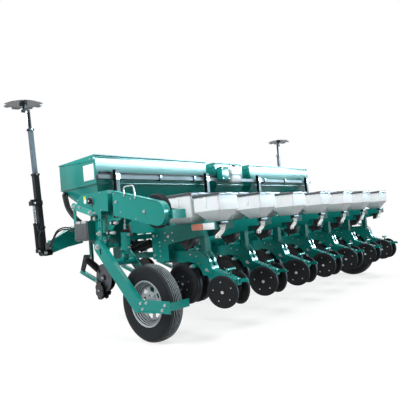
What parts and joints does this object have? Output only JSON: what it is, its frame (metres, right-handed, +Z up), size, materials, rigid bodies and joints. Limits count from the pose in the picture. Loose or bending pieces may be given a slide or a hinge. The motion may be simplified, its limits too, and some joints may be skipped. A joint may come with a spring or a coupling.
{
  "type": "precision planter",
  "caption": "Rear-mounted row-crop precision planter with seed and fertiliser hoppers, ground wheels, folding row markers and spinning gauge and closing wheels.",
  "frame": {"origin": "on the floor, middle of the machine across and along", "axes": "+Y is the travel direction, towards the hitch; +X to the right hand side facing forwards; +Z up"},
  "size_m": [5.8397, 2.716, 2.6328],
  "materials": {
    "green_paint": "gloss",
    "grey_paint": "satin",
    "black_paint": "satin",
    "tyre": "matt",
    "wheel_rubber": "satin",
    "dark_plastic": "satin",
    "white_plastic": "satin",
    "hose": "matt",
    "disc_steel": "satin",
    "chrome_rod": "polished"
  },
  "bodies": {
    "frame": {"air_hoses": "hose", "blower": "green_paint", "closing_arms": "green_paint", "end_frames": "green_paint", "fertilizer_openers": "black_paint", "fertilizer_tanks": "green_paint", "front_hopper_lids": "dark_plastic", "headstock": "green_paint", "hoppers": "white_plastic", "row_frames": "green_paint", "seed_meters": "dark_plastic", "tank_frame": "grey_paint", "toolbar_frame": "green_paint"},
    "wheel_arm_left": {"wheel_arm_left": "green_paint"},
    "ground_wheel_left": {"ground_wheel_left": "tyre"},
    "lift_barrel_left": {"lift_barrel_left": "green_paint"},
    "lift_rod_left": {"lift_rod_left": "chrome_rod"},
    "wheel_arm_right": {"wheel_arm_right": "green_paint"},
    "ground_wheel_right": {"ground_wheel_right": "tyre"},
    "lift_barrel_right": {"lift_barrel_right": "green_paint"},
    "lift_rod_right": {"lift_rod_right": "chrome_rod"},
    "drive_case": {"drive_case": "green_paint"},
    "drive_tyre": {"drive_tyre": "tyre"},
    "marker_arm_left": {"marker_arm_left": "black_paint"},
    "marker_disc_left": {"marker_disc_left": "disc_steel"},
    "parking_stand_left": {"parking_stand_left": "green_paint"},
    "marker_arm_right": {"marker_arm_right": "black_paint"},
    "marker_disc_right": {"marker_disc_right": "disc_steel"},
    "parking_stand_right": {"parking_stand_right": "green_paint"},
    "tank_lid_left": {"tank_lid_left": "green_paint"},
    "tank_lid_middle": {"tank_lid_middle": "green_paint"},
    "tank_lid_right": {"tank_lid_right": "green_paint"},
    "hopper_lid_1": {"hopper_lid_1": "dark_plastic"},
    "gauge_wheels_1": {"gauge_wheels_1": "wheel_rubber"},
    "closing_wheel_1_left": {"closing_wheel_1_left": "wheel_rubber"},
    "closing_wheel_1_right": {"closing_wheel_1_right": "wheel_rubber"},
    "hopper_lid_2": {"hopper_lid_2": "dark_plastic"},
    "gauge_wheels_2": {"gauge_wheels_2": "wheel_rubber"},
    "closing_wheel_2_left": {"closing_wheel_2_left": "wheel_rubber"},
    "closing_wheel_2_right": {"closing_wheel_2_right": "wheel_rubber"},
    "hopper_lid_3": {"hopper_lid_3": "dark_plastic"},
    "gauge_wheels_3": {"gauge_wheels_3": "wheel_rubber"},
    "closing_wheel_3_left": {"closing_wheel_3_left": "wheel_rubber"},
    "closing_wheel_3_right": {"closing_wheel_3_right": "wheel_rubber"},
    "hopper_lid_4": {"hopper_lid_4": "dark_plastic"},
    "gauge_wheels_4": {"gauge_wheels_4": "wheel_rubber"},
    "closing_wheel_4_left": {"closing_wheel_4_left": "wheel_rubber"},
    "closing_wheel_4_right": {"closing_wheel_4_right": "wheel_rubber"},
    "hopper_lid_5": {"hopper_lid_5": "dark_plastic"},
    "gauge_wheels_5": {"gauge_wheels_5": "wheel_rubber"},
    "closing_wheel_5_left": {"closing_wheel_5_left": "wheel_rubber"},
    "closing_wheel_5_right": {"closing_wheel_5_right": "wheel_rubber"},
    "hopper_lid_6": {"hopper_lid_6": "dark_plastic"},
    "gauge_wheels_6": {"gauge_wheels_6": "wheel_rubber"},
    "closing_wheel_6_left": {"closing_wheel_6_left": "wheel_rubber"},
    "closing_wheel_6_right": {"closing_wheel_6_right": "wheel_rubber"},
    "hopper_lid_7": {"hopper_lid_7": "dark_plastic"},
    "gauge_wheels_7": {"gauge_wheels_7": "wheel_rubber"},
    "closing_wheel_7_left": {"closing_wheel_7_left": "wheel_rubber"},
    "closing_wheel_7_right": {"closing_wheel_7_right": "wheel_rubber"}
  },
  "joints": [
    {"name": "wheel_lift_left", "type": "hinge", "parent": "frame", "child": "wheel_arm_left", "pos_m": [-2.31, 0.089, 0.94], "axis": [1, 0, 0], "range_deg": [-28, 0]},
    {"name": "ground_wheel_spin_left", "type": "hinge", "parent": "wheel_arm_left", "child": "ground_wheel_left", "pos_m": [-2.31, -0.45, 0.37], "axis": [1, 0, 0], "continuous": true},
    {"name": "lift_barrel_pivot_left", "type": "hinge", "parent": "wheel_arm_left", "child": "lift_barrel_left", "pos_m": [-2.31, -0.12, 0.834], "axis": [1, 0, 0], "range_deg": [0, 24]},
    {"name": "lift_rod_slide_left", "type": "slide", "parent": "lift_barrel_left", "child": "lift_rod_left", "axis": [0, -0.0517, 0.9987], "range_m": [-0.112, 0]},
    {"name": "wheel_lift_right", "type": "hinge", "parent": "frame", "child": "wheel_arm_right", "pos_m": [2.31, 0.089, 0.94], "axis": [1, 0, 0], "range_deg": [-28, 0]},
    {"name": "ground_wheel_spin_right", "type": "hinge", "parent": "wheel_arm_right", "child": "ground_wheel_right", "pos_m": [2.31, -0.45, 0.37], "axis": [1, 0, 0], "continuous": true},
    {"name": "lift_barrel_pivot_right", "type": "hinge", "parent": "wheel_arm_right", "child": "lift_barrel_right", "pos_m": [2.31, -0.12, 0.834], "axis": [1, 0, 0], "range_deg": [0, 24]},
    {"name": "lift_rod_slide_right", "type": "slide", "parent": "lift_barrel_right", "child": "lift_rod_right", "axis": [0, -0.0517, 0.9987], "range_m": [-0.112, 0]},
    {"name": "drive_case_swing", "type": "hinge", "parent": "frame", "child": "drive_case", "pos_m": [-2.4, -0.24, 1.365], "axis": [1, 0, 0], "range_deg": [-10, 0]},
    {"name": "drive_tyre_spin", "type": "hinge", "parent": "drive_case", "child": "drive_tyre", "pos_m": [-2.31, -0.642, 1.238], "axis": [1, 0, 0], "continuous": true},
    {"name": "marker_fold_left", "type": "hinge", "parent": "frame", "child": "marker_arm_left", "pos_m": [-2.584, 1.01, 0.915], "axis": [0, 1, 0], "range_deg": [-98, 0]},
    {"name": "marker_disc_spin_left", "type": "hinge", "parent": "marker_arm_left", "child": "marker_disc_left", "pos_m": [-2.70735, 1.01, 2.61633], "axis": [-0.0419, 0, 0.9991], "continuous": true},
    {"name": "stand_slide_left", "type": "slide", "parent": "frame", "child": "parking_stand_left", "axis": [0, 0, 1], "range_m": [0, 0.42]},
    {"name": "marker_fold_right", "type": "hinge", "parent": "frame", "child": "marker_arm_right", "pos_m": [2.584, 1.01, 0.915], "axis": [0, 1, 0], "range_deg": [0, 98]},
    {"name": "marker_disc_spin_right", "type": "hinge", "parent": "marker_arm_right", "child": "marker_disc_right", "pos_m": [2.70735, 1.01, 2.61633], "axis": [0.0419, 0, 0.9991], "continuous": true},
    {"name": "stand_slide_right", "type": "slide", "parent": "frame", "child": "parking_stand_right", "axis": [0, 0, 1], "range_m": [0, 0.42]},
    {"name": "tank_lid_hinge_left", "type": "hinge", "parent": "frame", "child": "tank_lid_left", "pos_m": [-1.425, 0.262, 1.893], "axis": [1, 0, 0], "range_deg": [0, 100]},
    {"name": "tank_lid_hinge_middle", "type": "hinge", "parent": "frame", "child": "tank_lid_middle", "pos_m": [0, 0.262, 1.893], "axis": [1, 0, 0], "range_deg": [0, 100]},
    {"name": "tank_lid_hinge_right", "type": "hinge", "parent": "frame", "child": "tank_lid_right", "pos_m": [1.425, 0.262, 1.893], "axis": [1, 0, 0], "range_deg": [0, 100]},
    {"name": "hopper_lid_hinge_1", "type": "hinge", "parent": "frame", "child": "hopper_lid_1", "pos_m": [-1.95, -0.898, 1.3503], "axis": [1, 0, 0], "range_deg": [-80, 0]},
    {"name": "gauge_spin_1", "type": "hinge", "parent": "frame", "child": "gauge_wheels_1", "pos_m": [-1.95, -0.644, 0.512], "axis": [1, 0, 0], "continuous": true},
    {"name": "closing_spin_1_left", "type": "hinge", "parent": "frame", "child": "closing_wheel_1_left", "pos_m": [-2.075, -1.153, 0.452], "axis": [-0.956, -0.2741, -0.1045], "continuous": true},
    {"name": "closing_spin_1_right", "type": "hinge", "parent": "frame", "child": "closing_wheel_1_right", "pos_m": [-1.825, -1.153, 0.452], "axis": [0.956, -0.2741, -0.1045], "continuous": true},
    {"name": "hopper_lid_hinge_2", "type": "hinge", "parent": "frame", "child": "hopper_lid_2", "pos_m": [-1.3, -0.898, 1.3503], "axis": [1, 0, 0], "range_deg": [-80, 0]},
    {"name": "gauge_spin_2", "type": "hinge", "parent": "frame", "child": "gauge_wheels_2", "pos_m": [-1.3, -0.644, 0.512], "axis": [1, 0, 0], "continuous": true},
    {"name": "closing_spin_2_left", "type": "hinge", "parent": "frame", "child": "closing_wheel_2_left", "pos_m": [-1.425, -1.153, 0.452], "axis": [-0.956, -0.2741, -0.1045], "continuous": true},
    {"name": "closing_spin_2_right", "type": "hinge", "parent": "frame", "child": "closing_wheel_2_right", "pos_m": [-1.175, -1.153, 0.452], "axis": [0.956, -0.2741, -0.1045], "continuous": true},
    {"name": "hopper_lid_hinge_3", "type": "hinge", "parent": "frame", "child": "hopper_lid_3", "pos_m": [-0.65, -0.898, 1.3503], "axis": [1, 0, 0], "range_deg": [-80, 0]},
    {"name": "gauge_spin_3", "type": "hinge", "parent": "frame", "child": "gauge_wheels_3", "pos_m": [-0.65, -0.644, 0.512], "axis": [1, 0, 0], "continuous": true},
    {"name": "closing_spin_3_left", "type": "hinge", "parent": "frame", "child": "closing_wheel_3_left", "pos_m": [-0.775, -1.153, 0.452], "axis": [-0.956, -0.2741, -0.1045], "continuous": true},
    {"name": "closing_spin_3_right", "type": "hinge", "parent": "frame", "child": "closing_wheel_3_right", "pos_m": [-0.525, -1.153, 0.452], "axis": [0.956, -0.2741, -0.1045], "continuous": true},
    {"name": "hopper_lid_hinge_4", "type": "hinge", "parent": "frame", "child": "hopper_lid_4", "pos_m": [0, -0.898, 1.3503], "axis": [1, 0, 0], "range_deg": [-80, 0]},
    {"name": "gauge_spin_4", "type": "hinge", "parent": "frame", "child": "gauge_wheels_4", "pos_m": [0, -0.644, 0.512], "axis": [1, 0, 0], "continuous": true},
    {"name": "closing_spin_4_left", "type": "hinge", "parent": "frame", "child": "closing_wheel_4_left", "pos_m": [-0.125, -1.153, 0.452], "axis": [-0.956, -0.2741, -0.1045], "continuous": true},
    {"name": "closing_spin_4_right", "type": "hinge", "parent": "frame", "child": "closing_wheel_4_right", "pos_m": [0.125, -1.153, 0.452], "axis": [0.956, -0.2741, -0.1045], "continuous": true},
    {"name": "hopper_lid_hinge_5", "type": "hinge", "parent": "frame", "child": "hopper_lid_5", "pos_m": [0.65, -0.898, 1.3503], "axis": [1, 0, 0], "range_deg": [-80, 0]},
    {"name": "gauge_spin_5", "type": "hinge", "parent": "frame", "child": "gauge_wheels_5", "pos_m": [0.65, -0.644, 0.512], "axis": [1, 0, 0], "continuous": true},
    {"name": "closing_spin_5_left", "type": "hinge", "parent": "frame", "child": "closing_wheel_5_left", "pos_m": [0.525, -1.153, 0.452], "axis": [-0.956, -0.2741, -0.1045], "continuous": true},
    {"name": "closing_spin_5_right", "type": "hinge", "parent": "frame", "child": "closing_wheel_5_right", "pos_m": [0.775, -1.153, 0.452], "axis": [0.956, -0.2741, -0.1045], "continuous": true},
    {"name": "hopper_lid_hinge_6", "type": "hinge", "parent": "frame", "child": "hopper_lid_6", "pos_m": [1.3, -0.898, 1.3503], "axis": [1, 0, 0], "range_deg": [-80, 0]},
    {"name": "gauge_spin_6", "type": "hinge", "parent": "frame", "child": "gauge_wheels_6", "pos_m": [1.3, -0.644, 0.512], "axis": [1, 0, 0], "continuous": true},
    {"name": "closing_spin_6_left", "type": "hinge", "parent": "frame", "child": "closing_wheel_6_left", "pos_m": [1.175, -1.153, 0.452], "axis": [-0.956, -0.2741, -0.1045], "continuous": true},
    {"name": "closing_spin_6_right", "type": "hinge", "parent": "frame", "child": "closing_wheel_6_right", "pos_m": [1.425, -1.153, 0.452], "axis": [0.956, -0.2741, -0.1045], "continuous": true},
    {"name": "hopper_lid_hinge_7", "type": "hinge", "parent": "frame", "child": "hopper_lid_7", "pos_m": [1.95, -0.898, 1.3503], "axis": [1, 0, 0], "range_deg": [-80, 0]},
    {"name": "gauge_spin_7", "type": "hinge", "parent": "frame", "child": "gauge_wheels_7", "pos_m": [1.95, -0.644, 0.512], "axis": [1, 0, 0], "continuous": true},
    {"name": "closing_spin_7_left", "type": "hinge", "parent": "frame", "child": "closing_wheel_7_left", "pos_m": [1.825, -1.153, 0.452], "axis": [-0.956, -0.2741, -0.1045], "continuous": true},
    {"name": "closing_spin_7_right", "type": "hinge", "parent": "frame", "child": "closing_wheel_7_right", "pos_m": [2.075, -1.153, 0.452], "axis": [0.956, -0.2741, -0.1045], "continuous": true}
  ],
  "couplings": [
    {"joint": "lift_barrel_pivot_left", "follows": "wheel_lift_left", "ratio": -0.842},
    {"joint": "lift_rod_slide_left", "follows": "wheel_lift_left", "m_per_rad": 0.226},
    {"joint": "lift_barrel_pivot_right", "follows": "wheel_lift_right", "ratio": -0.842},
    {"joint": "lift_rod_slide_right", "follows": "wheel_lift_right", "m_per_rad": 0.226}
  ]
}
